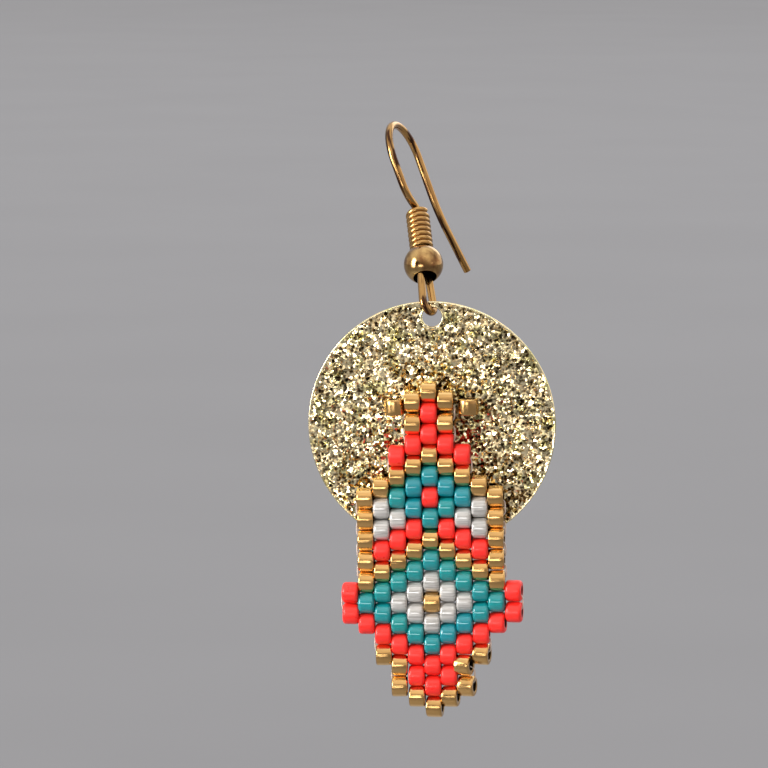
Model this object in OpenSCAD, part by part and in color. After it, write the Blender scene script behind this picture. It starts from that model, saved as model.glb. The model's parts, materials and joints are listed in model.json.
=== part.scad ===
// Drop earring: a ball-and-coil fish-hook ear wire, a round crinkled metal disc hung from its loop,
// and a flat panel of woven cylinder beads fixed on the front of the disc.
// Millimetres. +Z is up and the disc faces -Y. The origin is the inside top of the hook's arch,
// where the wire hangs.

/* [Ear wire] */
// Diameter of the wire
wire_d = 0.64; // [0.6:0.02:0.7]
// Radius of the hook's arch, to the middle of the wire
arch_r = 2.96; // [2.8:0.02:3.6]
// Length of the straight in front of the arch
front_len = 1.8; // [0.5:0.05:2.5]
// Length of the straight behind the arch
back_len = 2.95; // [1:0.05:4]
// Turn of the hook's plane about the vertical, its tail going to the right
hook_yaw = 13; // [0:1:20]
// Lean of the hook's plane, its arch going to the left
hook_lean = 21.7; // [0:0.1:25]
// Tilt of the straight shank in the hook's plane, its foot coming forward
shank_tilt = 35.6; // [30:0.1:40]
// Height along the shank, from the loop's centre, at which the wire bends into the hook
shank_top = 8.9; // [8.9:0.05:9.6]
// Angle by which the tail's end bends away to the back
tail_turn = 22; // [10:1:30]
// Length of the straight cut end of the tail
tail_len = 4; // [3:0.1:6]

/* [Loop] */
// Radius of the loop's round bottom, to the middle of the wire
loop_r = 0.76; // [0.74:0.01:0.9]
// Turn of the loop about the shank, out of the hook's plane
loop_turn = 7; // [0:1:12]
// Angle at which each leg of the loop closes in towards the ball
leg_angle = 4.1; // [3:0.1:5]

/* [Ball and coil] */
// Diameter of the ball
ball_d = 3.2; // [3:0.1:3.6]
// Diameter of the hole through the ball
ball_bore_d = 1.86; // [1.84:0.02:1.96]
// Height of the ball's centre along the shank, from the loop's centre
ball_height = 3.8; // [3.7:0.05:3.9]
// Diameter of the wire of the coil
coil_wire_d = 0.45; // [0.4:0.01:0.46]
// Rise of one turn of the coil
coil_pitch = 0.47; // [0.46:0.01:0.52]
// Turns of the coil
coil_turns = 7.5; // [6:0.5:7.5]
// Diameter of the coil, outside
coil_d = 1.94; // [1.9:0.02:2.2]

/* [Disc] */
// Diameter of the disc
disc_d = 20; // [18:0.5:24]
// Thickness of the disc
disc_t = 0.3; // [0.25:0.01:0.31]
// Diameter of the hole that the loop passes through
hole_d = 1.6; // [1.56:0.02:1.7]
// Width of metal between that hole and the edge of the disc
hole_rim = 0.45; // [0.42:0.01:0.46]

/* [Beadwork] */
// Diameter of a bead
bead_d = 1.69; // [1.5:0.01:1.7]
// Length of a bead
bead_len = 1.28; // [1.1:0.01:1.3]
// Distance from one column of beads to the next
column_pitch = 1.32; // [1.3:0.01:1.4]
// Distance from one bead to the next down a column
row_pitch = 1.715; // [1.68:0.005:1.8]
// Height of the top bead's centre above the disc's centre
panel_rise = 2.82; // [0:0.01:4]
// Place of the top bead's centre to the side of the disc's centre
panel_side = -0.15; // [-1:0.01:1]
// Turn of the hanging panel, its foot drifting to the right
panel_turn = 1; // [0:0.1:3]
// Thickness of the thread-filled core that joins the beads
core_t = 0.5; // [0.3:0.1:0.8]

/* [Hidden] */

round_fn = 48;
fit_gap = 0.05; // clearance between pieces that rest on each other
hang_gap = 0.09; // clearance between the loop's lowest point and the top of the disc's hole
hang_back = 0.07; // distance at which the disc hangs behind that point, clear of the front leg
bend_swell = 0.01; // extra diameter of the wire where it is bent
bend_bite = 0.05; // length by which a straight runs on into the bends at its ends

// Columns of the panel, the middle one first; each other row stands for a column on either side.
// The first level and the number of beads, a level being one row pitch below the top bead.
COLUMN = 0;
FIRST_LEVEL = 1;
BEADS = 2;
columns = [
    [0, 0, 16],
    [1, 0.5, 15],
    [2, 3, 12],
    [3, 4.5, 9],
    [4, 5, 7],
    [5, 9.5, 2],
];

// The core stops this far short of the round of the first and last bead of a column
core_inset = 0.15;
core_lap = 0.01; // the cores of neighbouring columns overlap by this much on each side

// Two beads that stand upright beside the head of the panel: their level, and their places across it
side_bead_level = 0.73;
side_beads = [-2.8, 3.16];

// Shape of the hook: the sharp bend forward at the shank's top, and the bend that brings it upright
kink_r = 0.6;
kink_turn = 76;
kink_len = 0.33;
front_r = 2.7;
front_lean = 2;
arch_turn = 181;
tail_r = 9;

// Bends of the wire, up from the shank's top and then down from it. Each row is a straight length
// and then a bend, a turn above 0 being to the back on the way up and to the front on the way down.
STRAIGHT = 0;
RADIUS = 1;
TURN = 2;
ARCH = 2;
hook_bends = [
    [0, kink_r, -kink_turn],
    [kink_len, front_r, kink_turn + front_lean - shank_tilt],
    [front_len, arch_r, arch_turn],
    [back_len, tail_r, -tail_turn],
    [tail_len, 0, 0],
];

// The jog inside the ball that takes the wire from the shank's line out to the front leg
jog_turn = 18;
jog_r = 0.9;
leg_start = 2.7;
leg_offset = loop_r / cos(leg_angle) - leg_start * tan(leg_angle);
jog_bends_side = jog_r * (1 - cos(jog_turn)) + jog_r * (cos(leg_angle) - cos(jog_turn));
jog_bends_drop = jog_r * (2 * sin(jog_turn) - sin(leg_angle));
jog_straight = (leg_offset - jog_bends_side) / sin(jog_turn);
jog_drop = jog_bends_drop + jog_straight * cos(jog_turn);
leg_len = leg_start / cos(leg_angle) - loop_r * tan(leg_angle);
loop_bends = [
    [shank_top - leg_start - jog_drop, jog_r, jog_turn],
    [jog_straight, jog_r, leg_angle - jog_turn],
    [leg_len, loop_r, -180 - 2 * leg_angle],
    [leg_len, 0, 0],
];

// Where a row of bends starts: the place to the back, the height and the heading from straight up
function right_of(heading) = [cos(heading), -sin(heading)];
function along(heading) = [sin(heading), cos(heading)];
function after(row, at) =
    let (side = row[TURN] > 0 ? 1 : -1)
    let (corner = [at[0], at[1]] + row[STRAIGHT] * along(at[2]))
    let (end = at[2] + row[TURN])
    let (centre = corner + side * row[RADIUS] * right_of(at[2]))
    let (out = centre - side * row[RADIUS] * right_of(end))
    [out[0], out[1], end];
function start_of(rows, i, at) = i == 0 ? at : after(rows[i - 1], start_of(rows, i - 1, at));

// Turns of a point about the axes, in the order in which rotate() takes them
function turn_x(p, a) = [p[0], p[1] * cos(a) - p[2] * sin(a), p[1] * sin(a) + p[2] * cos(a)];
function turn_y(p, a) = [p[0] * cos(a) + p[2] * sin(a), p[1], p[2] * cos(a) - p[0] * sin(a)];
function turn_z(p, a) = [p[0] * cos(a) - p[1] * sin(a), p[0] * sin(a) + p[1] * cos(a), p[2]];
function in_hook(p) = turn_z(turn_y(p, -hook_lean), -hook_yaw);
function in_shank(p) = in_hook(turn_x(p, -shank_tilt));
function in_loop(p) = in_shank(turn_z(p, -loop_turn));

// The loop's centre, below the inside top of the arch
hook_start = [shank_top * sin(shank_tilt), shank_top * cos(shank_tilt), shank_tilt];
arch_row = start_of(hook_bends, ARCH, hook_start);
arch_start = [arch_row[0], arch_row[1]] + front_len * along(arch_row[2]);
arch_centre = arch_start + arch_r * right_of(arch_row[2]);
arch_inside = [0, arch_centre[0], arch_centre[1] + arch_r - wire_d / 2];
loop_centre = -in_hook(arch_inside);

// The lowest point of the loop, at the middle of the wire, which carries the disc
shank_up = in_loop([0, 0, 1]);
loop_back = in_loop([0, 1, 0]);
hang_angle = atan2(-loop_back[2], shank_up[2]);
pivot = loop_centre + loop_r * (sin(hang_angle) * loop_back - cos(hang_angle) * shank_up);
hole_centre = pivot + [0, hang_back, wire_d / 2 + hang_gap - hole_d / 2];
disc_centre = hole_centre - [0, 0, disc_d / 2 - hole_rim - hole_d / 2];
panel_top = disc_centre + [panel_side, -(disc_t + bead_d) / 2 - fit_gap, panel_rise];

// The coil rests on the mouth of the ball's hole
coil_r = (coil_d - coil_wire_d) / 2;
mouth_r = ball_bore_d / 2;
mouth_height = ball_height + sqrt(pow(ball_d / 2, 2) - pow(mouth_r, 2));
coil_foot = mouth_height + sqrt(pow(coil_wire_d / 2 + fit_gap, 2) - pow(mouth_r - coil_r, 2));
coil_start = 180; // direction of the coil's lower end about the shank, to the left
coil_steps = 20; // sections in one turn of the coil
coil_sides = 8;

// Moves what is drawn in the hook's plane (Y to the back, Z up, from the loop's centre) to its place
module hook_place() {
    translate(loop_centre) rotate([0, -hook_lean, -hook_yaw]) children();
}

// The same for what is drawn about the shank's line
module shank_place() {
    hook_place() rotate([-shank_tilt, 0, 0]) children();
}

// One bend of round wire, starting at the origin along +Z and turning towards +Y, or -Y below 0
module bend(radius, turn) {
    side = turn > 0 ? 1 : -1;
    translate([0, side * radius, 0])
    rotate([90, 0, -side * 90])
    rotate_extrude(angle = abs(turn), $fn = round_fn)
    translate([radius, 0])
    circle(d = wire_d + bend_swell, $fn = round_fn);
}

module bent_wire(rows, at) {
    for (i = [0 : len(rows) - 1]) {
        start = start_of(rows, i, at);
        translate([0, start[0], start[1]])
        rotate([-start[2], 0, 0]) {
            head = rows[i][TURN] == 0 ? 0 : bend_bite;
            if (rows[i][STRAIGHT] > 0)
                translate([0, 0, -bend_bite])
                cylinder(h = bend_bite + rows[i][STRAIGHT] + head, d = wire_d, $fn = round_fn);
            if (rows[i][TURN] != 0)
                translate([0, 0, rows[i][STRAIGHT]]) bend(rows[i][RADIUS], rows[i][TURN]);
        }
    }
}

module ear_wire() {
    color([0.80, 0.58, 0.28]) {
        hook_place() bent_wire(hook_bends, hook_start);
        shank_place() rotate([0, 0, -loop_turn]) bent_wire(loop_bends, [0, shank_top, 180]);
    }
}

// A helix swept as one closed mesh: rings of points along it, side faces, and a face at each end
module wire_coil() {
    rings = round(coil_turns * coil_steps);
    slope = atan2(coil_pitch, 2 * PI * coil_r);
    points = [
        for (i = [0 : rings], j = [0 : coil_sides - 1])
            let (turn = coil_start + 360 * i / coil_steps)
            let (a = 360 * j / coil_sides)
            let (out = coil_r + coil_wire_d / 2 * cos(a))
            let (up = coil_wire_d / 2 * sin(a))
            [
                out * cos(turn) + up * sin(slope) * sin(turn),
                out * sin(turn) - up * sin(slope) * cos(turn),
                coil_pitch * i / coil_steps + up * cos(slope)
            ]
    ];
    faces = [
        [for (j = [0 : coil_sides - 1]) j],
        for (i = [0 : rings - 1], j = [0 : coil_sides - 1])
            let (k = (j + 1) % coil_sides)
            [
                i * coil_sides + j,
                (i + 1) * coil_sides + j,
                (i + 1) * coil_sides + k,
                i * coil_sides + k
            ],
        [for (j = [coil_sides - 1 : -1 : 0]) rings * coil_sides + j],
    ];
    color([0.83, 0.60, 0.27])
    shank_place()
    translate([0, 0, coil_foot])
    polyhedron(points, faces, convexity = 8);
}

module ball_bead() {
    color([0.84, 0.66, 0.38])
    shank_place()
    translate([0, 0, ball_height])
    difference() {
        sphere(d = ball_d, $fn = round_fn);
        cylinder(h = ball_d + 1, d = ball_bore_d, center = true, $fn = round_fn);
    }
}

module disc() {
    color([0.86, 0.78, 0.60])
    translate(disc_centre)
    rotate([90, 0, 0])
    difference() {
        cylinder(h = disc_t, d = disc_d, center = true, $fn = 96);
        translate([0, hole_centre[2] - disc_centre[2], 0])
        cylinder(h = disc_t + 1, d = hole_d, center = true, $fn = round_fn);
    }
}

// One bead lying across the panel, its hole running from side to side
module bead() {
    rotate([0, 90, 0]) cylinder(h = bead_len, d = bead_d, center = true, $fn = round_fn);
}

// One column of beads, drawn from the panel's top bead, with the core behind it
module bead_column(x, first, count) {
    run = (count - 1) * row_pitch;
    for (i = [0 : count - 1])
        translate([x, 0, -(first + i) * row_pitch]) bead();
    translate([x, 0, -first * row_pitch - run / 2])
    cube([column_pitch + 2 * core_lap, core_t, run + bead_d - 2 * core_inset], center = true);
}

module side_bead(x) {
    reach = abs(x) - column_pitch;
    translate([x, 0, -side_bead_level * row_pitch]) {
        cylinder(h = bead_len, d = bead_d, center = true, $fn = round_fn);
        translate([-sign(x) * reach / 2, 0, 0]) cube([reach, core_t, core_t], center = true);
    }
}

module bead_panel() {
    color([0.82, 0.70, 0.52])
    translate(panel_top)
    rotate([0, -panel_turn, 0]) {
        for (row = columns)
            for (side = row[COLUMN] == 0 ? [1] : [-1, 1])
                bead_column(side * row[COLUMN] * column_pitch, row[FIRST_LEVEL], row[BEADS]);
        for (x = side_beads)
            side_bead(x);
    }
}

ear_wire();
wire_coil();
ball_bead();
disc();
bead_panel();
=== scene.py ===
"""Drop earring: a ball-and-coil ear wire, a crinkled metal disc and a hanging panel of woven beads.

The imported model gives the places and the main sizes. Each operator below makes one piece of the
earring, or a group of like pieces, at its place around that model.
"""

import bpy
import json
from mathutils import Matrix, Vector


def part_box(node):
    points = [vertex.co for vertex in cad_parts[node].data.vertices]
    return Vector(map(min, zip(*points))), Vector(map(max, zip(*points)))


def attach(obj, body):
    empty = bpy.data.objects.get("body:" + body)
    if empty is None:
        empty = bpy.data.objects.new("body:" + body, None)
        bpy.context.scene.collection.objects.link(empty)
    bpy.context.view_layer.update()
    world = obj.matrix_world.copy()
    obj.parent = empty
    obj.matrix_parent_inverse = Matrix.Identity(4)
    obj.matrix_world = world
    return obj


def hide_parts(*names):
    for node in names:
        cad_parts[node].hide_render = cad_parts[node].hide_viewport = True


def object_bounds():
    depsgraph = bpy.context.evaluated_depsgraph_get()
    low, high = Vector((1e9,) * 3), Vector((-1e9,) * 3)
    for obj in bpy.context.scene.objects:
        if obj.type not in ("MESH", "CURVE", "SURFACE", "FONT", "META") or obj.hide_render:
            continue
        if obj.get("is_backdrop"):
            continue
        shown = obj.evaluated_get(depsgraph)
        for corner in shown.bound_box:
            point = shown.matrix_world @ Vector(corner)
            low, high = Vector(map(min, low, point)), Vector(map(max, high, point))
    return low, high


bl_info = {
    "name": "Beaded Disc Earring",
    "version": (1, 0, 0),
    "blender": (4, 5, 0),
    "location": "View3D > Sidebar > Earring",
    "description": "Builds a drop earring with a crinkled disc and a woven bead panel",
    "category": "Object",
}

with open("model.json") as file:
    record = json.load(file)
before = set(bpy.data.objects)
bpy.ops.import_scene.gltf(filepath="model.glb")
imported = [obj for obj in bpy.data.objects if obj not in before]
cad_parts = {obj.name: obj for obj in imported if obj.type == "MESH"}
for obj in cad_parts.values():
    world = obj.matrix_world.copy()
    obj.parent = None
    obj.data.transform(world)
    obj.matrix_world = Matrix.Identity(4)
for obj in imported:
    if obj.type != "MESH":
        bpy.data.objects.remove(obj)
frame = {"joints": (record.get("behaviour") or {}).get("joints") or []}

import json
import math
import random

import bmesh
import bpy
from bpy.props import FloatProperty, FloatVectorProperty, IntProperty, PointerProperty
from bpy.types import Operator, Panel, PropertyGroup
from mathutils import Euler, Matrix, Vector

CAD_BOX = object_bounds()
MM = 0.001
CRINKLED = "crinkled"
HANGER = "hanger"
DROP = "drop"

DISC_LOW, DISC_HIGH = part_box("disc")
DISC_CENTRE = (DISC_LOW + DISC_HIGH) / 2
DISC_R = (DISC_HIGH.x - DISC_LOW.x) / 2
BALL_LOW, BALL_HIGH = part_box("ball_bead")
BALL_CENTRE = (BALL_LOW + BALL_HIGH) / 2
BALL_R = (BALL_HIGH.x - BALL_LOW.x) / 2
PIVOT = Vector(frame["joints"][0]["pos_m"])


def length(label, millimetres):
    """A length property, shown in the scene's units."""
    return FloatProperty(name=label, default=millimetres * MM, subtype="DISTANCE", precision=6)


def angle(label, degrees):
    """An angle property."""
    return FloatProperty(name=label, default=math.radians(degrees), subtype="ANGLE")


def colour(label, *tone):
    """A colour property, with its values as the shader reads them."""
    return FloatVectorProperty(name=label, default=tone, min=0, max=1, subtype="COLOR")


def shares(label, *pair):
    """Two shares, a low one and a high one."""
    return FloatVectorProperty(name=label, size=2, default=pair, min=0, max=2)


def amount(label, value, high=10):
    """A plain number."""
    return FloatProperty(name=label, default=value, min=0, max=high)


def count(label, value, low=8):
    """A whole number."""
    return IntProperty(name=label, default=value, min=low)


class WireSettings(PropertyGroup):
    wire_d: length("Wire diameter", 0.64)
    hook_yaw: angle("Turn of the hook's plane about the vertical", 13)
    hook_lean: angle("Lean of the hook's plane, its arch to the left", 21.7)
    shank_tilt: angle("Tilt of the straight shank, its foot coming forward", 35.6)
    shank_top: length("Height along the shank at which the hook begins", 8.9)
    kink_r: length("Radius of the sharp bend at the shank's top", 0.6)
    kink_turn: angle("Angle of that bend", 76)
    kink_len: length("Straight after that bend", 0.33)
    front_r: length("Radius of the bend that brings the front upright", 2.7)
    front_lean: angle("Lean of the front leg of the hook", 2)
    front_len: length("Straight in front of the arch", 1.8)
    arch_r: length("Radius of the arch", 2.96)
    arch_turn: angle("Angle of the arch", 181)
    back_len: length("Straight behind the arch", 2.95)
    tail_r: length("Radius of the bend above the tail's end", 9)
    tail_turn: angle("Angle by which the tail's end bends away", 22)
    tail_len: length("Straight cut end of the tail", 4)
    loop_r: length("Radius of the loop's bottom", 0.76)
    loop_turn: angle("Turn of the loop about the shank", 7)
    leg_angle: angle("Angle at which each leg closes in to the ball", 4.1)
    leg_start: length("Height at which the legs meet the jog", 2.7)
    jog_turn: angle("Angle of the jog from the shank to the front leg", 18)
    jog_r: length("Radius of the jog's bends", 0.9)
    end_bevel: length("Rounding of the cut end", 0.06)
    sides: count("Sides of the wire", 24)
    bend_step: angle("Angle between two sections in a bend", 4)
    colour: colour("Plated wire", 0.45, 0.26, 0.09)
    # Painted reflection: dark streaks along the wire stand in for reflections of the dark surroundings in the
    # plate
    painted_dark_reflection: colour("Dark streaks along the wire", 0.06, 0.026, 0.014)
    roughness: amount("Roughness of the wire", 0.16)


class CoilBallSettings(PropertyGroup):
    ball_height: length("Height of the ball's centre above the loop's", 3.8)
    bore_d: length("Diameter of the ball's hole", 1.86)
    mouth_bevel: length("Rounding of that hole's mouth", 0.07)
    ball_sides: count("Sides of the ball", 72)
    coil_d: length("Outer diameter of the coil", 1.94)
    coil_wire_d: length("Diameter of the coil's wire", 0.45)
    coil_pitch: length("Rise of one turn of the coil", 0.47)
    coil_turns: amount("Turns of the coil", 7.5)
    coil_gap: length("Clearance between the coil and the ball", 0.05)
    coil_steps: count("Sections in one turn of the coil", 48)
    coil_sides: count("Sides of the coil's wire", 16)
    coil_bevel: length("Rounding of the coil's ends", 0.05)
    colour: colour("Ball", 0.43, 0.275, 0.108)
    roughness: amount("Roughness of the ball", 0.13)


class DiscSettings(PropertyGroup):
    hole_d: length("Diameter of the disc's hole", 1.6)
    hang_gap: length("Clearance over the loop in that hole", 0.09)
    edge_bevel: length("Chamfer of the disc's edges", 0.05)
    plain_rim: length("Width of the plain rim", 0.16)
    cell: length("Size of the mesh's cells", 0.083)
    relief: length("Depth of the crinkled relief", 0.16)
    crinkle: length("Size of one crinkle", 0.27)
    grain: length("Size of the finer wrinkles", 0.17)
    colour: colour("Disc", 0.88, 0.765, 0.475)
    # Painted shade: the pits of the crinkled relief are painted darker, as shade falls in them; its colour
    # and the shares of the face at which it begins and is full
    pit_shade_colour: colour("Dark pits", 0.09, 0.048, 0.02)
    pit_shade_range: shares("Shares of the face at which the pits begin and are dark", 0.54, 0.94)
    facet: length("Size of the foil's small facets", 0.27)
    facet_tilt: amount("Turn of the facets from the relief", 1.8)
    patch: length("Size of the calm and lively patches", 1.1)
    patch_tilt: shares("Shares of that turn in the calm and the lively patches", 0.6, 1.2)
    roughness: amount("Roughness of the disc", 0.16)
    sides: count("Sides of the disc", 320)
    hole_sides: count("Sides of its hole", 64)


class BeadSettings(PropertyGroup):
    column_pitch: length("Distance between two columns", 1.32)
    row_pitch: length("Distance between two beads of a column", 1.715)
    panel_rise: length("Height of the top bead above the disc's centre", 2.833)
    panel_side: length("Place of the top bead beside the disc's centre", -0.15)
    panel_turn: angle("Turn of the hanging panel", 1)
    bead_depth: length("Depth of the beads, front to back", 1.69)
    panel_gap: length("Clearance between the beads and the disc", 0.05)
    bead_d: length("Diameter of a bead", 1.69)
    metal_len: length("Length of a metallic bead", 1.29)
    metal_round: length("Rounding of a metallic bead's ends", 0.14)
    glass_len: length("Length of a glass bead", 1.314)
    glass_round: length("Rounding of a glass bead's ends", 0.23)
    bore_d: length("Diameter of a bead's hole", 0.84)
    bore_round: length("Rounding of that hole's mouths", 0.05)
    barrel: amount("How much narrower a bead is at its ends, as a share", 0.02)
    sides: count("Sides of a bead", 32)
    yaw_spread: angle("Spread of a bead's turn in the weave", 0.96)
    shift_spread: length("Spread of a bead's place in the weave", 0.008)
    size_spread: amount("Spread of a bead's size, as a share", 0.003)
    seed: count("Start of the random draws", 11, 0)
    gold: colour("Gold beads", 0.59, 0.353, 0.13)
    # Painted reflection: where the gold beads face their neighbours above and below, they are painted in this
    # richer gold, as a reflection of those beads
    gold_rich: colour("Gold beads where they face each other", 0.95, 0.64, 0.29)
    coral: colour("Coral beads", 0.89, 0.024, 0.016)
    turquoise: colour("Greener turquoise beads", 0.006, 0.245, 0.24)
    turquoise_blue: colour("Bluer turquoise beads", 0.006, 0.225, 0.275)
    white: colour("Pearly beads", 0.50, 0.487, 0.465)


class ThreadSettings(PropertyGroup):
    thread_d: length("Diameter of the thread", 0.12)
    bulge: length("How far a turn of thread stands out of the bead's end", 0.1)
    tuck: length("How far the thread is followed into the bore", 0.3)
    colour: colour("Thread", 0.66, 0.55, 0.48)


class StudioSettings(PropertyGroup):
    azimuth: angle("Direction of the camera, to the right of the disc's front", 6.1)
    elevation: angle("Height of the camera above the disc's level", 7.5)
    distance: length("Distance from the camera to the disc's centre", 350)
    field: length("Width of the view at the disc", 61.83)
    look_left: length("The view's centre, to the left of the disc's", 3.85)
    look_up: length("The view's centre, above the disc's", 3.27)
    floor_drop: length("Distance of the floor below the earring", 300)
    floor_r: length("Radius of the floor", 16000)
    floor_colour: colour("Floor", 0.275, 0.277, 0.292)
    key: amount("Brightness of the tall window light at the left", 18, 100)
    front: amount("Brightness of the low wide light in front", 6.3, 100)
    side: amount("Brightness of the small light at the right", 1.6, 100)
    back: amount("Brightness of the light behind", 2, 100)
    ceiling: amount("Brightness of the ceiling over the floor behind", 0.3, 100)
    ceiling_up: length("Height of that ceiling above the disc's centre", 2200)
    world: amount("Strength of the surroundings", 1)


SETTINGS = {
    "earring_wire": WireSettings,
    "earring_coil_ball": CoilBallSettings,
    "earring_disc": DiscSettings,
    "earring_beads": BeadSettings,
    "earring_thread": ThreadSettings,
    "earring_studio": StudioSettings,
}

# The woven chart. A row stands for a column of beads on either side of the middle one: how many
# columns out it is, the level of its first bead, in row pitches below the top bead, and its beads
# from the top down: G gold, C coral, T turquoise, W white.
CHART = (
    (0, 0.0, "GCCGTCTGTWGWTCCG"),
    (1, 0.5, "GGCGTTCGTWWTCCG"),
    (2, 3.0, "CGTWCGTWTCGG"),
    (3, 4.5, "GWWCGTTCG"),
    (4, 5.0, "GGGGGTC"),
    (5, 9.5, "CC"),
)

# Beads that stand upright beside the head of the panel: their level, and their places across it
SIDE_LEVEL = 0.73
SIDE_BEADS = (-2.8 * MM, 3.16 * MM)

# The weave isn't quite square: the columns at the right sit higher, by this share of a row a column,
# and this fades out from the panel's middle to its foot
WEAVE_SLANT = 0.013
LEVELS = len(CHART[0][2])

# Beads that the thread pulls out of line: column, level, then how far they stand to the right, to the
# front and up in millimetres, and their turn in degrees, the right-hand end coming forward
PULLED_BEADS = {
    (-1, 0.5): (0, 0, 0.06, 0),
    (1, 0.5): (0.03, 0, 0.1, 0),
    (3, 12.5): (0, 0, 0, 10),
    (2, 13.0): (-0.13, 0.2, 0.02, 17),
    (2, 14.0): (0.1, 0.05, 0, 13),
    (1, 14.5): (0.06, 0, 0, 9),
    (0, 15.0): (0.1, 0, 0, 7),
    (5, 9.5): (0.03, -0.04, 0, 4),
    (5, 10.5): (0.03, -0.05, -0.01, 5),
    (4, 11.0): (0, -0.04, 0, 4),
    (4, 10.0): (-0.02, 0, 0, 2),
    (2, 12.0): (-0.04, 0, 0, 1),
    (1, 12.5): (-0.04, 0, 0, 1),
    (-2, 13.0): (-0.06, 0, 0, -2),
    (-2, 14.0): (-0.1, -0.03, -0.02, -3),
    (-3, 12.5): (-0.02, 0, 0, -3),
    (-4, 11.0): (-0.03, -0.02, 0, -2),
    (-5, 9.5): (0.02, 0, 0, 2),
    (-5, 10.5): (0, 0, -0.01, -2),
}

# The room that the metal reflects: its tone in front and behind, and its broad bright areas, each an
# azimuth and an elevation, the angles from there at which it begins to fade and ends, and its tone
ROOM_FRONT = (0.045, 0.03, 0.024)
ROOM_BACK = (0.40, 0.40, 0.41)
ROOM_AREAS = (
    (-10, 80, 20, 70, (1.1, 1.08, 1.05)),
    (68, 8, 12, 45, (0.62, 0.54, 0.51)),
    (10, 30, 10, 48, (0.42, 0.365, 0.31)),
    (-88, 10, 15, 42, (0.50, 0.49, 0.48)),
    (122, 8, 12, 34, (1.1, 1.08, 1.05)),
)

# The painted shade inside a drilled ball's hole, the painted shade in a bead's bore as a share of
# the bead's colour, and how light travels under the skin of the glass
PAINTED_BORE_SHADE = (0.035, 0.022, 0.014)
PAINTED_BORE_SHADE_SHARE = 0.06
GLASS_SKIN = {"Subsurface_Scale": 0.5 * MM, "Subsurface_Radius": (1, 1, 1)}

# How far beads of the lowest and the highest shade stand apart in their patterns
TONE_APART = 40 * MM

# Width of the camera's sensor, in the millimetres that its lens is given in
SENSOR = 36

# Two points closer than this are at one height or on one ring
CLOSE = 0.01 * MM


def give(thing, **values):
    """Sets properties of a thing, and gives it back."""
    for name, value in values.items():
        setattr(thing, name, value)
    return thing


def deselect():
    bpy.ops.object.select_all(action="DESELECT")


def activate(piece):
    """Makes one piece the only selected one, and the active one."""
    deselect()
    piece.select_set(True)
    bpy.context.view_layer.objects.active = piece


def edit_mode(piece):
    """Opens a piece for editing, with all of it selected."""
    activate(piece)
    bpy.ops.object.mode_set(mode="EDIT")
    bpy.ops.mesh.select_all(action="SELECT")


def object_mode():
    bpy.ops.object.mode_set(mode="OBJECT")


def apply_modifiers(piece):
    activate(piece)
    for modifier in list(piece.modifiers):
        bpy.ops.object.modifier_apply(modifier=modifier.name)


def apply_transform(piece):
    activate(piece)
    bpy.ops.object.transform_apply(location=True, rotation=True, scale=True)


def place(piece, matrix):
    """Moves a piece with its object and then puts the place into its mesh."""
    piece.matrix_world = matrix @ piece.matrix_world
    apply_transform(piece)


def select(piece, test, kind="EDGE"):
    """In edit mode, selects the edges or faces for which the test is true, and nothing else."""
    bpy.ops.mesh.select_mode(type=kind)
    bpy.ops.mesh.select_all(action="DESELECT")
    mesh = bmesh.from_edit_mesh(piece.data)
    for part in mesh.edges if kind == "EDGE" else mesh.faces:
        if test(part):
            part.select_set(True)
    mesh.select_flush_mode()
    bmesh.update_edit_mesh(piece.data)


def round_edges(piece, test, offset, segments):
    """In edit mode, rounds the edges for which the test is true."""
    select(piece, test)
    bpy.ops.mesh.bevel(offset=offset, segments=segments, affect="EDGES")


def normals_out(piece):
    """Turns all faces outwards."""
    edit_mode(piece)
    bpy.ops.mesh.normals_make_consistent(inside=False)
    object_mode()


def smooth(piece, degrees):
    activate(piece)
    bpy.ops.object.shade_smooth_by_angle(angle=math.radians(degrees))


def store(piece, name, values, kind="FLOAT"):
    """Stores a value or a vector for each point of a piece, for its material."""
    layer = piece.data.attributes.new(name, kind, "POINT").data
    layer.foreach_set("value" if kind == "FLOAT" else "vector", list(values))


def store_places(piece, apart=Vector()):
    """Stores where each point of a piece is before it is placed."""
    places = (part for vertex in piece.data.vertices for part in vertex.co + apart)
    store(piece, "own", places, "FLOAT_VECTOR")


def shade_inside(piece, along, radius):
    """Stores which points of a piece are inside its bore, along the axis of that number, for the material to
    paint shade there.
    """
    across = [axis for axis in range(3) if axis != along]
    out = (math.hypot(*(vertex.co[axis] for axis in across)) for vertex in piece.data.vertices)
    store(piece, "shade", (float(distance < radius) for distance in out))


def finish_piece(piece, name, material, body, slot, replaced):
    """Names a finished piece, dresses it and lets it ride on its body in place of a solid."""
    piece.name = piece.data.name = name
    piece.data.materials.clear()
    piece.data.materials.append(material)
    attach(piece, body)
    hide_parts(replaced)
    deselect()


class Nodes:
    """The emptied nodes of a light, the world or a material, and short calls that add to them.

    An input is given as a plain value or as another node's output.
    """

    def __init__(self, owner):
        owner.use_nodes = True
        self.tree = owner.node_tree
        self.tree.nodes.clear()

    def put(self, node, inputs):
        for name, value in inputs.items():
            target = node.inputs[name]
            if isinstance(value, bpy.types.NodeSocket):
                self.tree.links.new(value, target)
            else:
                target.default_value = (*value, 1) if target.type == "RGBA" else value

    def node(self, kind, inputs=None, **values):
        made = give(self.tree.nodes.new("ShaderNode" + kind), **values)
        self.put(made, inputs or {})
        return made

    def calculate(self, operation, *values, kind="Math", output=0):
        return self.node(kind, dict(enumerate(values)), operation=operation).outputs[output]

    def spread(self, source, low, high, start=0.3, end=0.7, **values):
        """Maps a value between start and end to the range from low to high."""
        limits = {"From Min": start, "From Max": end, "To Min": low, "To Max": high}
        return self.node("MapRange", {"Value": source, **limits}, **values).outputs["Result"]

    def mix(self, factor, first, second, blend="MIX"):
        """Mixes two colours. The node has its colours at inputs 6 and 7 and at output 2."""
        colours = {0: factor, 6: first, 7: second}
        return self.node("Mix", colours, data_type="RGBA", blend_type=blend).outputs[2]


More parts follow.
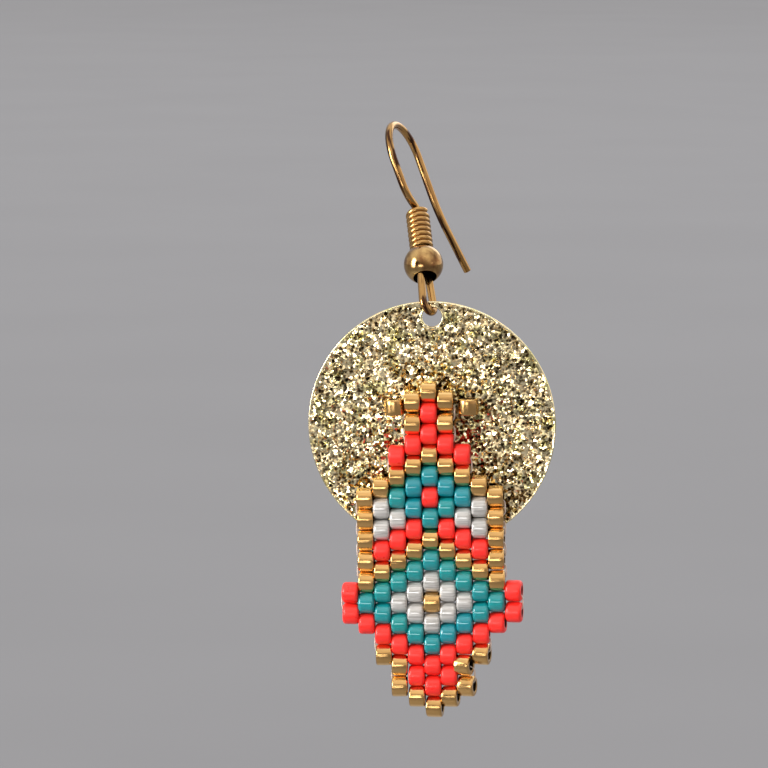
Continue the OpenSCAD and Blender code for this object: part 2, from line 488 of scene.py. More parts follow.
class Shader(Nodes):
    """A new material with its Principled shader."""

    def __init__(self, name):
        self.material = bpy.data.materials.new(name)
        super().__init__(self.material)
        self.surface = self.node("BsdfPrincipled")
        self.node("OutputMaterial", {"Surface": self.surface.outputs["BSDF"]})
        self.coordinates = self.node("TexCoord").outputs

    def set(self, **values):
        """Gives inputs to the surface, by names with an underscore for each space."""
        self.put(self.surface, {name.replace("_", " "): value for name, value in values.items()})

    def attribute(self, name, output="Fac"):
        """What store() kept for each point of the piece."""
        return self.node("Attribute", attribute_name=name, attribute_type="GEOMETRY").outputs[output]

    def noise(self, size, detail, roughness=0.5, stretch=(1, 1, 1), attribute=None):
        """Noise with features about that size in metres, in object or attribute coordinates."""
        place_of = self.attribute(attribute, "Vector") if attribute else self.coordinates["Object"]
        mapping = self.node("Mapping", {"Vector": place_of, "Scale": stretch})
        inputs = {"Vector": mapping.outputs[0], "Scale": 1 / size, "Detail": detail, "Roughness": roughness}
        return self.node("TexNoise", inputs).outputs["Fac"]

    def ramp(self, source, *stops):
        """A colour ramp: stops are pairs of place and colour."""
        node = self.node("ValToRGB", {"Fac": source})
        elements = node.color_ramp.elements
        for element, stop in zip(elements, (stops[0], stops[-1])):
            element.position, element.color = stop[0], (*stop[1], 1)
        for position, tone in stops[1:-1]:
            elements.new(position).color = (*tone, 1)
        return node.outputs["Color"]

    def bump(self, source, height):
        """Adds a bump of that height in metres."""
        raised = self.node("Bump", {"Strength": 1, "Distance": height, "Height": source})
        self.set(Normal=raised.outputs["Normal"])


def scaled(tone, *factors):
    """A colour made lighter or darker, by one factor or by one for each of its parts."""
    return tuple(min(1, part * factor) for part, factor in zip(tone, factors * 3))


def plated_wire_material(name, tone, roughness, painted_dark_reflection=None, cloud=1.6 * MM, cloudy=0.16):
    """Polished gold plate: cloudy by that share, with painted shade in a bore, and with dark streaks along a
    wire that are painted reflections.
    """
    shader = Shader(name)
    clouds = shader.noise(cloud, 4)
    low = scaled(tone, 1 - 0.8 * cloudy, 1 - cloudy, 1 - cloudy)
    gold = shader.ramp(clouds, (0.36, low), (0.62, scaled(tone, 1 + 0.3 * cloudy)))
    # Painted shade: points inside a bore are painted dark
    gold = shader.mix(shader.attribute("shade"), gold, PAINTED_BORE_SHADE)
    # Painted reflection: dark streaks along the wire stand in for reflections of the dark surroundings
    if painted_dark_reflection:
        lines = shader.noise(0.34 * MM, 2, stretch=(1, 0.11, 0.11), attribute="own")
        gold = shader.mix(shader.spread(lines, 0, 1, 0.53, 0.6), gold, painted_dark_reflection)
    shader.set(Base_Color=gold, Metallic=1, Roughness=shader.spread(clouds, roughness * 0.8, roughness * 1.5))
    shader.bump(clouds, 0.03 * MM)
    return shader.material


def crinkled_disc_material(disc):
    """Pale gold foil: small facets that each catch the light their own way, with painted shade in the pits.
    """
    shader = Shader("disc_pale_gold")
    patches = shader.noise(1.4 * MM, 3)
    gold = shader.ramp(patches, (0.36, scaled(disc.colour, 0.84, 0.87, 0.66)), (0.5, disc.colour),
                       (0.64, scaled(disc.colour, 1.04, 0.97, 0.9)))
    # Painted shade: the pits are painted dark
    shader.set(Base_Color=shader.mix(shader.attribute("pit_shade"), gold, disc.pit_shade_colour), Metallic=1,
               Roughness=shader.spread(patches, disc.roughness * 0.7, disc.roughness * 1.4))
    facets = shader.node("TexVoronoi", {"Scale": 1 / disc.facet, "Vector": shader.coordinates["Object"]})
    tilt = shader.calculate("SUBTRACT", facets.outputs["Color"], (0.5, 0.5, 0.5), kind="VectorMath")
    lively = shader.spread(shader.noise(disc.patch, 2), *disc.patch_tilt, 0.38, 0.62)
    pressed = shader.calculate("MULTIPLY", shader.attribute("pressed"), disc.facet_tilt)
    share = shader.calculate("MULTIPLY", pressed, lively)
    turn = shader.node("VectorMath", {0: tilt, "Scale": share}, operation="SCALE").outputs[0]
    normal = shader.node("NewGeometry").outputs["Normal"]
    turned = shader.calculate("ADD", turn, normal, kind="VectorMath")
    shader.set(Normal=shader.calculate("NORMALIZE", turned, kind="VectorMath"))
    return shader.material


def bead_tone(shader, low, high, rich=None):
    """A bead's colour: from low to high between beads, with a painted reflection of the neighbours above and
    below, and painted shade in the bore.
    """
    tone = shader.ramp(shader.attribute("bead"), (0, low), (1, high))
    if rich:
        # Painted reflection: faces that point up or down, towards the neighbouring beads, are painted in the
        # richer gold that those beads would reflect
        axes = shader.node("SeparateXYZ", {0: shader.coordinates["Normal"]}).outputs
        upright = shader.spread(shader.calculate("ABSOLUTE", axes["Z"]), 0, 1, 0.6, 0.85)
        tone = shader.mix(upright, tone, rich)
    # Painted shade: the bore is painted darker than the bead
    return shader.mix(shader.attribute("shade"), tone, scaled(low, PAINTED_BORE_SHADE_SHARE))


def gold_bead_material(tone, rich):
    """Metal-coated glass with faint lines along the bead, and a painted reflection of the neighbouring beads,
    in richer gold, where the beads face each other.
    """
    shader = Shader("gold_beads")
    clouds = shader.noise(0.5 * MM, 3, attribute="own")
    shader.set(Base_Color=bead_tone(shader, scaled(tone, 0.9), scaled(tone, 1.12), rich),
               Roughness=shader.spread(clouds, 0.14, 0.24), Metallic=1)
    shader.bump(shader.noise(0.16 * MM, 2, stretch=(0.08, 1, 1), attribute="own"), 0.02 * MM)
    return shader.material


def glass_bead_material(name, low, high, roughness, ior, glow):
    """Opaque glass, glossy or semi-matt, that lets some light through beneath its skin."""
    shader = Shader(name)
    clouds = shader.noise(0.6 * MM, 2, attribute="own")
    shader.set(Base_Color=bead_tone(shader, low, high), IOR=ior, Subsurface_Weight=glow, **GLASS_SKIN,
               Roughness=shader.spread(clouds, roughness * 0.8, roughness * 1.3))
    shader.bump(shader.noise(0.35 * MM, 2, stretch=(0.4, 1, 1), attribute="own"), 0.005 * MM)
    return shader.material


def pearl_bead_material(tone):
    """Pearly glass, streaked along the bead."""
    shader = Shader("white_beads")
    streaks = shader.noise(0.13 * MM, 3, 0.6, (0.06, 1, 1), "own")
    lined = shader.ramp(streaks, (0.38, (0.66, 0.66, 0.65)), (0.60, (1, 1, 1)))
    pearl = bead_tone(shader, scaled(tone, 0.94), scaled(tone, 1.06))
    shader.set(Base_Color=shader.mix(1, lined, pearl, "MULTIPLY"), Coat_Weight=1, Coat_Roughness=0.04,
               Coat_IOR=1.85, Roughness=shader.spread(streaks, 0.12, 0.3), Subsurface_Weight=0.5,
               **GLASS_SKIN)
    shader.bump(streaks, 0.008 * MM)
    return shader.material


def thread_material(tone):
    """Twisted nylon thread."""
    shader = Shader("bead_thread")
    strands = shader.noise(0.05 * MM, 2)
    shader.set(Base_Color=shader.ramp(strands, (0.3, scaled(tone, 0.8)), (0.7, tone)), Roughness=0.55,
               Sheen_Weight=0.3)
    shader.bump(strands, 0.01 * MM)
    return shader.material


def floor_material(tone):
    """Matt painted board."""
    shader = Shader("studio_floor")
    paint = shader.ramp(shader.noise(0.2, 2), (0.3, scaled(tone, 0.985)), (0.7, scaled(tone, 1.015)))
    shader.set(Base_Color=paint, Roughness=0.9)
    return shader.material


def hook_matrix(wire, centre):
    """From the hook's plane (Y to the back, Z up) to its place."""
    turn = Matrix.Rotation(-wire.hook_yaw, 4, "Z") @ Matrix.Rotation(-wire.hook_lean, 4, "Y")
    return Matrix.Translation(centre) @ turn


def shank_turn(wire):
    """From the shank's line (Z along it) to the hook's plane."""
    return Matrix.Rotation(-wire.shank_tilt, 4, "X")


def loop_centre(wire, ball_height):
    """The loop's centre, below the ball along the shank."""
    up = hook_matrix(wire, Vector()) @ shank_turn(wire) @ Vector((0, 0, 1))
    return BALL_CENTRE - up * ball_height


def sweep(rows, start, to_hook, step):
    """Draws the selected ring of edges along a list of bends, each a straight, a radius and a turn.

    The start is a place to the back, a height and a heading from straight up, in a plane that
    to_hook turns into the hook's own.
    """
    back, up, heading = start
    for straight, radius, turn in rows:
        if straight > 0:
            ahead = to_hook @ Vector((0, math.sin(heading), math.cos(heading))) * straight
            bpy.ops.mesh.extrude_region_move(TRANSFORM_OT_translate={"value": ahead})
            back += straight * math.sin(heading)
            up += straight * math.cos(heading)
        if turn:
            side = math.copysign(1, turn)
            centre = (back + side * radius * math.cos(heading), up - side * radius * math.sin(heading))
            bpy.ops.mesh.spin(
                steps=max(4, round(abs(turn) / step)), angle=abs(turn), use_auto_merge=False,
                center=to_hook @ Vector((0, *centre)), axis=to_hook @ Vector((side, 0, 0)))
            heading += turn
            back = centre[0] - side * radius * math.cos(heading)
            up = centre[1] + side * radius * math.sin(heading)


def hook_bends(wire):
    """The bends up from the shank's top, over the arch and down the tail."""
    return (
        (0, wire.kink_r, -wire.kink_turn),
        (wire.kink_len, wire.front_r, wire.kink_turn + wire.front_lean - wire.shank_tilt),
        (wire.front_len, wire.arch_r, wire.arch_turn),
        (wire.back_len, wire.tail_r, -wire.tail_turn),
        (wire.tail_len, 0, 0),
    )


def loop_bends(wire):
    """The bends down from the shank's top, round the loop and up into the ball."""
    leg, jog = wire.leg_angle, wire.jog_turn
    offset = wire.loop_r / math.cos(leg) - wire.leg_start * math.tan(leg)
    bends_side = wire.jog_r * (1 + math.cos(leg) - 2 * math.cos(jog))
    straight = (offset - bends_side) / math.sin(jog)
    drop = wire.jog_r * (2 * math.sin(jog) - math.sin(leg)) + straight * math.cos(jog)
    leg_len = wire.leg_start / math.cos(leg) - wire.loop_r * math.tan(leg)
    return (
        (wire.shank_top - wire.leg_start - drop, wire.jog_r, jog),
        (straight, wire.jog_r, leg - jog),
        (leg_len, wire.loop_r, -math.pi - 2 * leg),
        (leg_len, 0, 0),
    )


class EARRING_OT_ear_wire(Operator):
    """Bend the ear wire: hook, straight shank and bottom loop in one length"""

    bl_idname = "earring.ear_wire"
    bl_label = "Ear Wire"

    def execute(self, context):
        wire = context.scene.earring_wire
        tilt = wire.shank_tilt
        start = (wire.shank_top * math.sin(tilt), wire.shank_top * math.cos(tilt), tilt)
        bpy.ops.mesh.primitive_circle_add(
            vertices=wire.sides, radius=wire.wire_d / 2, fill_type="NOTHING",
            location=(0, *start[:2]), rotation=(-tilt, 0, 0))
        piece = context.object
        apply_transform(piece)
        edit_mode(piece)
        sweep(hook_bends(wire), start, Matrix.Identity(3), wire.bend_step)
        tail = {vertex.index for vertex in bmesh.from_edit_mesh(piece.data).verts if vertex.select}
        select(piece, lambda edge: all(vertex.index < wire.sides for vertex in edge.verts))
        to_loop = shank_turn(wire).to_3x3() @ Matrix.Rotation(-wire.loop_turn, 3, "Z")
        sweep(loop_bends(wire), (0, wire.shank_top, math.pi), to_loop, wire.bend_step)
        bpy.ops.mesh.select_all(action="SELECT")
        bpy.ops.mesh.fill_holes(sides=wire.sides)
        round_edges(piece, lambda edge: all(vertex.index in tail for vertex in edge.verts), wire.end_bevel, 3)
        object_mode()
        normals_out(piece)
        store_places(piece)
        ball_height = context.scene.earring_coil_ball.ball_height
        place(piece, hook_matrix(wire, loop_centre(wire, ball_height)))
        smooth(piece, 40)
        material = plated_wire_material("wire_gold", wire.colour, wire.roughness, wire.painted_dark_reflection)
        finish_piece(piece, "bent_wire", material, HANGER, "wire_gold", "ear_wire")
        return {"FINISHED"}


def mouth_height(ball):
    """Height of the mouth of the ball's hole above the ball's centre."""
    return math.sqrt(BALL_R ** 2 - (ball.bore_d / 2) ** 2)


class EARRING_OT_coil(Operator):
    """Wind the coil that sits on the ball"""

    bl_idname = "earring.coil"
    bl_label = "Coil"

    def execute(self, context):
        wire = context.scene.earring_wire
        coil = context.scene.earring_coil_ball
        middle_r = (coil.coil_d - coil.coil_wire_d) / 2
        apart = coil.coil_wire_d / 2 + coil.coil_gap
        above_mouth = math.sqrt(apart ** 2 - (coil.bore_d / 2 - middle_r) ** 2)
        foot = coil.ball_height + mouth_height(coil) + above_mouth
        bpy.ops.mesh.primitive_circle_add(
            vertices=coil.coil_sides, radius=coil.coil_wire_d / 2, fill_type="NOTHING",
            location=(-middle_r, 0, 0), rotation=(math.pi / 2, 0, 0))
        piece = context.object
        apply_transform(piece)
        give(piece.modifiers.new("wind", "SCREW"), angle=2 * math.pi * coil.coil_turns,
             screw_offset=coil.coil_pitch * coil.coil_turns, steps=round(coil.coil_steps * coil.coil_turns))
        apply_modifiers(piece)
        edit_mode(piece)
        bpy.ops.mesh.fill_holes(sides=coil.coil_sides)
        round_edges(piece, lambda edge: max(len(face.verts) for face in edge.link_faces) > 4,
                    coil.coil_bevel, 2)
        object_mode()
        normals_out(piece)
        seat = Matrix.Translation((0, 0, foot))
        place(piece, hook_matrix(wire, loop_centre(wire, coil.ball_height)) @ shank_turn(wire) @ seat)
        smooth(piece, 40)
        material = plated_wire_material("coil_gold", wire.colour, wire.roughness)
        finish_piece(piece, "coil", material, HANGER, "wire_gold", "wire_coil")
        return {"FINISHED"}


class EARRING_OT_ball(Operator):
    """Turn the drilled ball"""

    bl_idname = "earring.ball"
    bl_label = "Ball"

    def execute(self, context):
        wire = context.scene.earring_wire
        ball = context.scene.earring_coil_ball
        mouth = mouth_height(ball)
        bpy.ops.mesh.primitive_uv_sphere_add(
            segments=ball.ball_sides, ring_count=ball.ball_sides // 2, radius=BALL_R)
        piece = context.object
        edit_mode(piece)
        for side in (1, -1):
            bpy.ops.mesh.select_all(action="SELECT")
            bpy.ops.mesh.bisect(
                plane_co=(0, 0, side * mouth), plane_no=(0, 0, side), clear_outer=True, threshold=CLOSE / 10)
        select(piece, lambda edge: edge.is_boundary)
        bpy.ops.mesh.bridge_edge_loops()
        round_edges(piece, lambda edge: all(abs(abs(vertex.co.z) - mouth) < CLOSE for vertex in edge.verts),
                    ball.mouth_bevel, 4)
        object_mode()
        normals_out(piece)
        # Marks the hole's wall and mouth, where the material paints shade
        shade_inside(piece, 2, ball.bore_d / 2 + ball.mouth_bevel * 0.4)
        turn = hook_matrix(wire, Vector()) @ shank_turn(wire)
        place(piece, Matrix.Translation(BALL_CENTRE) @ turn)
        smooth(piece, 50)
        material = plated_wire_material("ball_gold", ball.colour, ball.roughness, cloud=0.9 * MM, cloudy=0.6)
        finish_piece(piece, "ball", material, HANGER, "wire_gold", "ball_bead")
        return {"FINISHED"}


def flared_cylinder(radius, depth, bevel, sides, flare):
    """A cylinder of that depth whose ends run on beyond it, wider by the flare or narrower."""
    bpy.ops.mesh.primitive_cylinder_add(vertices=sides, radius=radius, depth=depth - 2 * bevel)
    piece = bpy.context.object
    run_on = 6 * bevel
    share = (radius + flare * run_on) / radius
    edit_mode(piece)
    for side in (1, -1):
        select(piece, lambda face: face.normal.z * side > 0.9, "FACE")
        bpy.ops.mesh.extrude_region_move(TRANSFORM_OT_translate={"value": (0, 0, side * run_on)})
        bpy.ops.transform.resize(value=(share, share, 1), center_override=(0, 0, 0))
    object_mode()
    return piece


def cut(piece, tool, operation):
    """Cuts a piece with a tool, and takes the tool away."""
    give(piece.modifiers.new("cut", "BOOLEAN"), object=tool, operation=operation, solver="MANIFOLD")
    apply_modifiers(piece)
    bpy.data.objects.remove(tool, do_unlink=True)


def press(piece, name, kind, depth, middle, **values):
    """Presses a texture into the crinkled faces of a piece, along their normals."""
    texture = give(bpy.data.textures.new(name, kind), **values)
    give(piece.modifiers.new(name, "DISPLACE"), texture=texture, texture_coords="LOCAL", strength=depth,
         mid_level=middle, vertex_group=CRINKLED)
    apply_modifiers(piece)


class EARRING_OT_disc(Operator):
    """Stamp the round disc, with its hole and its crinkled faces"""

    bl_idname = "earring.disc"
    bl_label = "Disc"

    def execute(self, context):
        disc = context.scene.earring_disc
        wire = context.scene.earring_wire
        thickness = DISC_HIGH.y - DISC_LOW.y
        hole_up = PIVOT.z + wire.wire_d / 2 + disc.hang_gap - disc.hole_d / 2 - DISC_CENTRE.z

        blank = flared_cylinder(DISC_R, thickness, disc.edge_bevel, disc.sides, -1)
        drill = flared_cylinder(disc.hole_d / 2, thickness, disc.edge_bevel, disc.hole_sides, 1)
        place(drill, Matrix.Translation((0, hole_up, 0)))
        cut(blank, drill, "DIFFERENCE")

        cells = math.ceil(2 * DISC_R / disc.cell) + 2
        bpy.ops.mesh.primitive_grid_add(
            x_subdivisions=cells, y_subdivisions=cells, size=cells * disc.cell,
            location=(0, 0, -thickness / 2))
        piece = context.object
        apply_transform(piece)
        edit_mode(piece)
        bpy.ops.mesh.extrude_region_move(TRANSFORM_OT_translate={"value": (0, 0, thickness)})
        object_mode()
        normals_out(piece)
        cut(piece, blank, "INTERSECT")

        group = piece.vertex_groups.new(name=CRINKLED)
        depth, pressed = [], []
        for vertex in piece.data.vertices:
            x, y, z = vertex.co
            from_edge = min(DISC_R - math.hypot(x, y), math.hypot(x, y - hole_up) - disc.hole_d / 2)
            weight = min(1, max(0, (from_edge - disc.plain_rim / 2) / disc.plain_rim))
            if abs(z) < thickness / 2 - CLOSE / 10:
                weight = 0
            if weight > 0:
                group.add([vertex.index], weight, "REPLACE")
            depth.append(abs(z))
            pressed.append(weight)
        press(piece, "facets", "VORONOI", disc.relief * 0.8, middle=0.8, noise_scale=disc.crinkle,
              distance_metric="DISTANCE", noise_intensity=1.3, color_mode="INTENSITY")
        press(piece, "folds", "MUSGRAVE", disc.relief * 0.35, middle=0.9, noise_scale=disc.crinkle * 1.3,
              octaves=3, musgrave_type="RIDGED_MULTIFRACTAL", noise_intensity=0.6)
        press(piece, "grain", "CLOUDS", disc.relief * 0.15, middle=0.8, noise_scale=disc.grain,
              noise_depth=1, noise_type="HARD_NOISE")

        # Painted shade: the deeper a point of the relief sank, the darker the material paints it
        sunk = [before - abs(vertex.co.z) for before, vertex in zip(depth, piece.data.vertices)]
        shallow, deep = (sorted(sunk)[round(len(sunk) * share)] for share in disc.pit_shade_range)
        store(piece, "pit_shade", (min(1, max(0, (value - shallow) / (deep - shallow))) for value in sunk))
        store(piece, "pressed", pressed)

        face_front = Matrix.Rotation(math.pi / 2, 4, "X")
        place(piece, Matrix.Translation(DISC_CENTRE) @ face_front)
        smooth(piece, 60)
        finish_piece(piece, "crinkled_disc", crinkled_disc_material(disc), DROP, "disc_gold", "disc")
        return {"FINISHED"}


def model_bead(beads, bead_length, rounding):
    """One drilled bead lying along X: a cylinder pierced, joined, rounded and a little barrelled."""
    radius, bore_r = beads.bead_d / 2, beads.bore_d / 2
    past_mouth = 1.2 * bore_r
    bpy.ops.mesh.primitive_cylinder_add(
        vertices=beads.sides, radius=radius, depth=bead_length, rotation=(0, math.pi / 2, 0))
    bead = bpy.context.object
    apply_transform(bead)
    edit_mode(bead)
    select(bead, lambda face: abs(face.normal.x) > 0.9, "FACE")
    bpy.ops.mesh.inset(thickness=radius - bore_r, depth=0)
    bpy.ops.mesh.delete(type="FACE")
    select(bead, lambda edge: edge.is_boundary)
    bpy.ops.mesh.bridge_edge_loops()

    def out(vertex):
        return math.hypot(vertex.co.y, vertex.co.z)

    def on_ring(edge, ring_r):
        one, other = edge.verts
        across = abs(one.co.x - other.co.x) < CLOSE
        return across and all(abs(out(end) - ring_r) < CLOSE for end in edge.verts)

    round_edges(bead, lambda edge: on_ring(edge, radius), rounding, 4)
    round_edges(bead, lambda edge: on_ring(edge, bore_r), beads.bore_round, 2)
    select(bead, lambda edge: edge.calc_length() > bead_length / 3 and out(edge.verts[0]) > past_mouth)
    bpy.ops.mesh.subdivide(number_cuts=3)
    object_mode()
    for vertex in bead.data.vertices:
        if out(vertex) > past_mouth:
            narrower = 1 - beads.barrel * (2 * vertex.co.x / bead_length) ** 2
            vertex.co.y, vertex.co.z = vertex.co.y * narrower, vertex.co.z * narrower
    # Marks the bore, where the material paints shade
    shade_inside(bead, 0, bore_r + 2 * CLOSE)
    normals_out(bead)
    smooth(bead, 50)
    return bead


def bead_places():
    """Each bead of the weave, as its column with a sign for the side, its level and its letter."""
    for column, first_level, letters in CHART:
        for side in (-1, 1) if column else (1,):
            for index, letter in enumerate(letters):
                yield side * column, first_level + index, letter


def weave_place(beads, column, level):
    """The middle of a bead in the weave, from the top bead."""
    slant = WEAVE_SLANT * column * min(1, 2 * (1 - level / LEVELS))
    return Vector((column * beads.column_pitch, 0, (slant - level) * beads.row_pitch))


def panel_matrix(beads):
    """From the panel (its top bead at the origin) to its place on the disc's front."""
    front = DISC_LOW.y - beads.panel_gap - beads.bead_depth / 2
    top = Vector((DISC_CENTRE.x + beads.panel_side, front, DISC_CENTRE.z + beads.panel_rise))
    return Matrix.Translation(top) @ Matrix.Rotation(-beads.panel_turn, 4, "Y")


def set_bead(pattern, matrix, shade):
    """A copy of the pattern bead with its own mesh, its place and its shade."""
    bead = give(pattern.copy(), data=pattern.data.copy())
    bpy.context.collection.objects.link(bead)
    store_places(bead, Vector((0, shade * TONE_APART, 0)))
    store(bead, "bead", [shade] * len(bead.data.vertices))
    bead.data.transform(matrix)
    return bead


def join_pieces(pieces):
    deselect()
    for piece in pieces:
        piece.select_set(True)
    bpy.context.view_layer.objects.active = pieces[0]
    bpy.ops.object.join()
    return bpy.context.object


class EARRING_OT_beads(Operator):
    """String the gold, coral, turquoise and white beads of the panel"""

    bl_idname = "earring.beads"
    bl_label = "Beads"

    def execute(self, context):
        beads = context.scene.earring_beads
        draw = random.Random(beads.seed)
        metal = model_bead(beads, beads.metal_len, beads.metal_round)
        glass = model_bead(beads, beads.glass_len, beads.glass_round)
        to_panel = panel_matrix(beads)
        strung = {letter: [] for letter in "GCTW"}

        def string(letter, at, turn, upright=False):
            size = 1 + draw.uniform(-1, 1) * beads.size_spread
            spin = draw.uniform(0, 2 * math.pi)
            lean = [draw.gauss(0, 1) * beads.yaw_spread for _ in range(2)]
            shift = Vector([draw.uniform(-1, 1) * beads.shift_spread for _ in range(3)])
            matrix = Matrix.Translation(at + shift) @ Euler((0, lean[0], lean[1] + turn)).to_matrix().to_4x4()
            if upright:
                matrix = matrix @ Matrix.Rotation(math.pi / 2, 4, "Y")
            else:
                matrix = matrix @ Matrix.Scale(beads.row_pitch / beads.bead_depth, 4, (0, 0, 1))
            matrix = matrix @ Matrix.Rotation(spin, 4, "X") @ Matrix.Scale(size, 4)
            pattern = metal if letter == "G" else glass
            strung[letter].append(set_bead(pattern, to_panel @ matrix, draw.random()))

        for column, level, letter in bead_places():
            right, front, up, turn = PULLED_BEADS.get((column, level), (0, 0, 0, 0))
            string(letter, weave_place(beads, column, level) + Vector((right, -front, up)) * MM,
                   -math.radians(turn))
        for across in SIDE_BEADS:
            string("G", Vector((across, 0, -SIDE_LEVEL * beads.row_pitch)), 0, upright=True)

        corals = glass_bead_material(
            "coral_beads", scaled(beads.coral, 0.94), scaled(beads.coral, 1.02),
            roughness=0.34, ior=1.5, glow=0.25)
        turquoises = glass_bead_material(
            "turquoise_beads", beads.turquoise, beads.turquoise_blue, roughness=0.06, ior=1.62, glow=0.4)
        finishes = (
            ("G", "gold_beads", gold_bead_material(beads.gold, beads.gold_rich), "bead_gold"),
            ("C", "coral_beads", corals, "bead_coral"),
            ("T", "turquoise_beads", turquoises, "bead_turquoise"),
            ("W", "white_beads", pearl_bead_material(beads.white), "bead_white"),
        )
        for letter, name, material, slot in finishes:
            finish_piece(join_pieces(strung[letter]), name, material, DROP, slot, "bead_panel")
        for pattern in (metal, glass):
            bpy.data.objects.remove(pattern, do_unlink=True)
        return {"FINISHED"}


def thread_turns(beads):
    """Where the thread turns from one bead into the next: the side, the bore's mouth, two levels."""
    levels = {}
    for column, level, _ in bead_places():
        levels.setdefault(column, set()).add(level)
    for column, held in sorted(levels.items()):
        for side in (-1, 1):
            if column * side < 0:
                continue
            neighbour = levels.get(column + side, set())
            for level in sorted(held):
                if level + 1 in held and level + 0.5 not in neighbour:
                    mouth = column * beads.column_pitch + side * beads.metal_len / 2
                    yield side, mouth, level, level + 1


class EARRING_OT_thread(Operator):
    """Turn the thread round the edges of the panel"""

    bl_idname = "earring.thread"
    bl_label = "Thread"

    def execute(self, context):
        beads = context.scene.earring_beads
        thread = context.scene.earring_thread
        turns = []
        for side, mouth, above, below in thread_turns(beads):
            top, foot = -above * beads.row_pitch, -below * beads.row_pitch
            rim = beads.bore_d * 0.3
            route = (
                (mouth - side * thread.tuck, top - rim * 0.5),
                (mouth + side * thread.bulge * 0.6, top - rim),
                (mouth + side * thread.bulge, (top + foot) / 2),
                (mouth + side * thread.bulge * 0.6, foot + rim),
                (mouth - side * thread.tuck, foot + rim * 0.5),
            )
            bpy.ops.curve.primitive_nurbs_path_add()
            turn = context.object
            spline = give(turn.data.splines[0], use_endpoint_u=True, order_u=3)
            for point, (x, z) in zip(spline.points, route):
                point.co = (x, 0, z, 1)
            give(turn.data, resolution_u=5, bevel_depth=thread.thread_d / 2, bevel_resolution=2,
                 use_fill_caps=True)
            activate(turn)
            bpy.ops.object.convert(target="MESH")
            turns.append(context.object)
        piece = join_pieces(turns)
        place(piece, panel_matrix(beads))
        normals_out(piece)
        smooth(piece, 60)
        finish_piece(piece, "bead_thread", thread_material(thread.colour), DROP, "thread", "bead_panel")
        return {"FINISHED"}


def aim(item, target):
    """Points a light or the camera at a place."""
    item.rotation_euler = (Vector(target) - item.location).to_track_quat("-Z", "Y").to_euler()


def direction(azimuth, elevation):
    """The way from the disc to that direction, in radians right of its front and up."""
    level = math.cos(elevation)
    return Vector((math.sin(azimuth) * level, -math.cos(azimuth) * level, math.sin(elevation)))


def soften(lamp):
    """Lets a light fade towards its edges, as a softbox does."""
    nodes = Nodes(lamp.data)
    across = nodes.node("SeparateXYZ", {0: nodes.node("NewGeometry").outputs["Parametric"]}).outputs
    from_edges = [nodes.calculate("PINGPONG", across[axis], 0.5) for axis in "XY"]
    fades = [nodes.spread(share, 0, 1, 0, 0.28, interpolation_type="SMOOTHSTEP") for share in from_edges]
    emission = nodes.node("Emission", {"Strength": nodes.calculate("MULTIPLY", *fades)})
    nodes.node("OutputLight", {"Surface": emission.outputs[0]})


def area_light(name, azimuth, elevation, distance, size, brightness, tone=(1, 1, 1)):
    """A soft light seen from the disc in that direction, in degrees right of its front and up.

    Its power follows from its size and from how bright its face is to be.
    """
    toward = direction(math.radians(azimuth), math.radians(elevation))
    bpy.ops.object.light_add(type="AREA", location=DISC_CENTRE + toward * distance)
    lamp = give(bpy.context.object, name=name, visible_camera=False)
    give(lamp.data, shape="RECTANGLE", size=size[0], size_y=size[1], color=tone,
         energy=brightness * math.pi * size[0] * size[1])
    aim(lamp, DISC_CENTRE)
    soften(lamp)
    return lamp


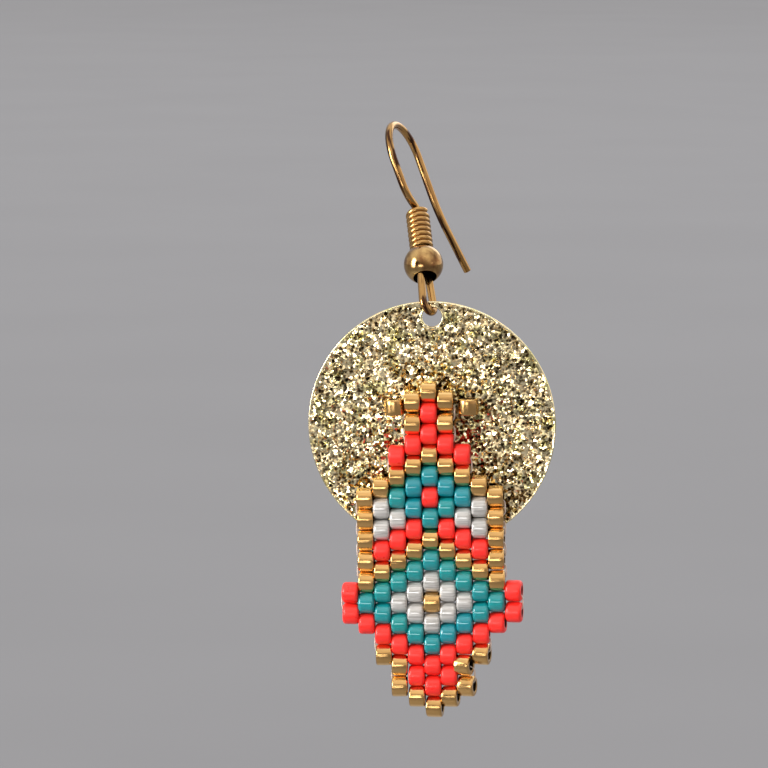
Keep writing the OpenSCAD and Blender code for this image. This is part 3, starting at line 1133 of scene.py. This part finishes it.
class EARRING_OT_studio(Operator):
    """Set the pale floor, the soft lights and the camera"""

    bl_idname = "earring.studio"
    bl_label = "Studio"

    def execute(self, context):
        studio = context.scene.earring_studio
        self.camera(context.scene, studio)
        self.floor(studio)
        self.lights(studio)
        self.world(context.scene, studio)
        context.scene.view_settings.view_transform = "Standard"
        return {"FINISHED"}

    def camera(self, scene, studio):
        right = Vector((math.cos(studio.azimuth), math.sin(studio.azimuth), 0))
        toward = direction(studio.azimuth, studio.elevation)
        target = DISC_CENTRE - right * studio.look_left + toward.cross(right) * studio.look_up
        bpy.ops.object.camera_add(location=target + toward * studio.distance)
        scene.camera = bpy.context.object
        aim(scene.camera, target)
        give(scene.camera.data, sensor_width=SENSOR, lens=SENSOR * studio.distance / studio.field,
             clip_start=0.01, clip_end=100)

    def floor(self, studio):
        bpy.ops.mesh.primitive_circle_add(
            vertices=96, radius=studio.floor_r, fill_type="NGON",
            location=(0, 0, CAD_BOX[0][2] - studio.floor_drop))
        floor = give(bpy.context.object, name="studio_floor")
        apply_transform(floor)
        floor.data.materials.append(floor_material(studio.floor_colour))
        floor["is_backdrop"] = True

    def lights(self, studio):
        area_light("window_light", -56, 13, 0.55, (0.28, 0.48), studio.key, (1.0, 0.98, 0.96))
        area_light("front_light", -12, 1, 0.50, (0.34, 0.11), studio.front)
        area_light("side_light", 60, 12, 0.60, (0.07, 0.15), studio.side, (1.0, 0.97, 0.93))
        area_light("back_light", 160, 25, 0.60, (0.40, 0.40), studio.back)
        ceiling = area_light("floor_light", 180, 0, 4.5, (9.0, 8.0), studio.ceiling, (0.97, 0.98, 1.0))
        ceiling.location.z += studio.ceiling_up
        ceiling.rotation_euler = (0, 0, 0)

    def world(self, scene, studio):
        """A room for the metal to reflect: dim in front, paler behind, with broad bright areas."""
        scene.world = bpy.data.worlds.new("studio")
        nodes = Nodes(scene.world)
        around = nodes.node("TexCoord").outputs["Generated"]
        backward = nodes.node("SeparateXYZ", {0: around}).outputs["Y"]
        room = nodes.mix(nodes.spread(backward, 0, 1, -0.7, 0.5), ROOM_FRONT, ROOM_BACK)
        for *angles, tone in ROOM_AREAS:
            azimuth, elevation, inner, outer = (math.radians(value) for value in angles)
            nearness = nodes.calculate(
                "DOT_PRODUCT", around, direction(azimuth, elevation), kind="VectorMath", output="Value")
            fade = nodes.spread(
                nearness, 0, 1, math.cos(outer), math.cos(inner), interpolation_type="SMOOTHSTEP")
            room = nodes.mix(fade, room, tone, "ADD")
        background = nodes.node("Background", {"Color": room, "Strength": studio.world})
        nodes.node("OutputWorld", {"Surface": background.outputs[0]})


OPERATORS = (
    EARRING_OT_studio,
    EARRING_OT_ear_wire,
    EARRING_OT_coil,
    EARRING_OT_ball,
    EARRING_OT_disc,
    EARRING_OT_beads,
    EARRING_OT_thread,
)


class EARRING_PT_sidebar(Panel):
    """Lists the earring's pieces and their sizes"""

    bl_label = "Beaded Disc Earring"
    bl_idname = "EARRING_PT_sidebar"
    bl_space_type = "VIEW_3D"
    bl_region_type = "UI"
    bl_category = "Earring"

    def draw(self, context):
        for operator in OPERATORS:
            self.layout.operator(operator.bl_idname)
        for name, group in SETTINGS.items():
            box = self.layout.box()
            for key in group.__annotations__:
                box.prop(getattr(context.scene, name), key)


CLASSES = (*SETTINGS.values(), *OPERATORS, EARRING_PT_sidebar)


def register():
    for item in CLASSES:
        bpy.utils.register_class(item)
    for name, group in SETTINGS.items():
        setattr(bpy.types.Scene, name, PointerProperty(type=group))


def unregister():
    for name in SETTINGS:
        delattr(bpy.types.Scene, name)
    for item in reversed(CLASSES):
        bpy.utils.unregister_class(item)


def write_size():
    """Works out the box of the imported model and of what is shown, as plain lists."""
    boxes = {"cad": CAD_BOX, "visual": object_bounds()}
    plain = {name: [[float(value) for value in corner] for corner in box] for name, box in boxes.items()}


def main():
    register()
    bpy.ops.earring.studio()
    bpy.ops.earring.ear_wire()
    bpy.ops.earring.coil()
    bpy.ops.earring.ball()
    bpy.ops.earring.disc()
    bpy.ops.earring.beads()
    bpy.ops.earring.thread()
    write_size()


if __name__ == "__main__":
    main()
